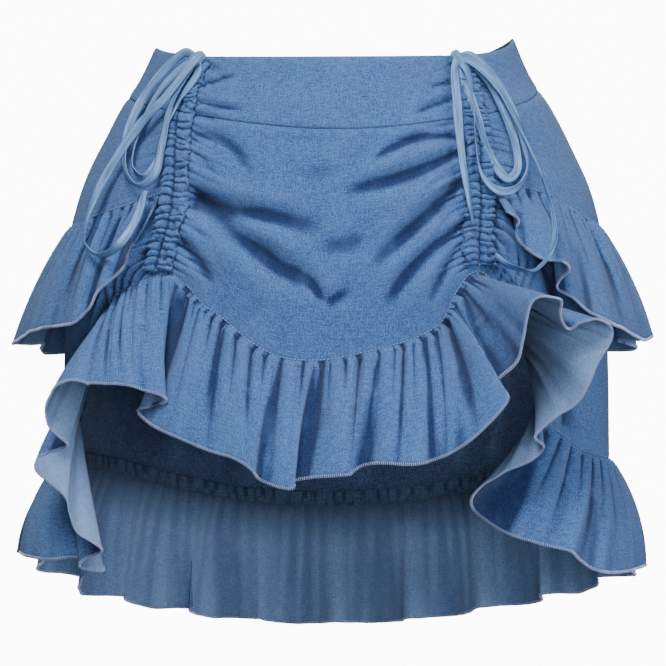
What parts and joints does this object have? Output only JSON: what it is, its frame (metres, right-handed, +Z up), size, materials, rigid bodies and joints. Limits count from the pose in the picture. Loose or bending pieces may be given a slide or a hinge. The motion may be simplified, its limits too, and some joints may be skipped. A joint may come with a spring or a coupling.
{
  "type": "bustle skirt",
  "caption": "Short blue chambray bustle skirt, ruched at the front by two drawstring casings, with tiered gathered ruffles and a high-low hem, in worn form.",
  "frame": {"origin": "middle of the waist, at the level where the wearer holds the skirt", "axes": "+Z up, out of the waist opening; -Y towards the front; +X towards the viewer's right from the front"},
  "size_m": [0.4744, 0.3552, 0.4489],
  "materials": {
    "waistband": "woven",
    "chambray": "woven",
    "ruffle": "woven",
    "satin": "satin"
  },
  "bodies": {
    "root": {"waistband_front": "waistband", "waistband_back": "waistband", "front_panel": "chambray", "yoke_left": "chambray", "yoke_right": "chambray", "yoke_back": "chambray", "side_panel_left": "chambray", "side_panel_right": "chambray", "back_panel": "chambray", "casing_left": "chambray", "casing_right": "chambray", "upper_ruffle_right": "ruffle", "upper_ruffle_back": "ruffle", "upper_ruffle_left": "ruffle", "hem_ruffle_left": "ruffle", "hem_ruffle_front": "ruffle", "hem_ruffle_right": "ruffle", "hem_ruffle_back": "ruffle", "knot_left": "satin", "knot_right": "satin", "ribbon_left_tail_long": "satin", "ribbon_left_loop_outer": "satin", "ribbon_left_loop_inner": "satin", "ribbon_right_tail_short": "satin", "ribbon_right_loop_outer": "satin", "ribbon_right_loop_inner": "satin", "ribbon_right_tail_long": "satin"}
  },
  "joints": []
}
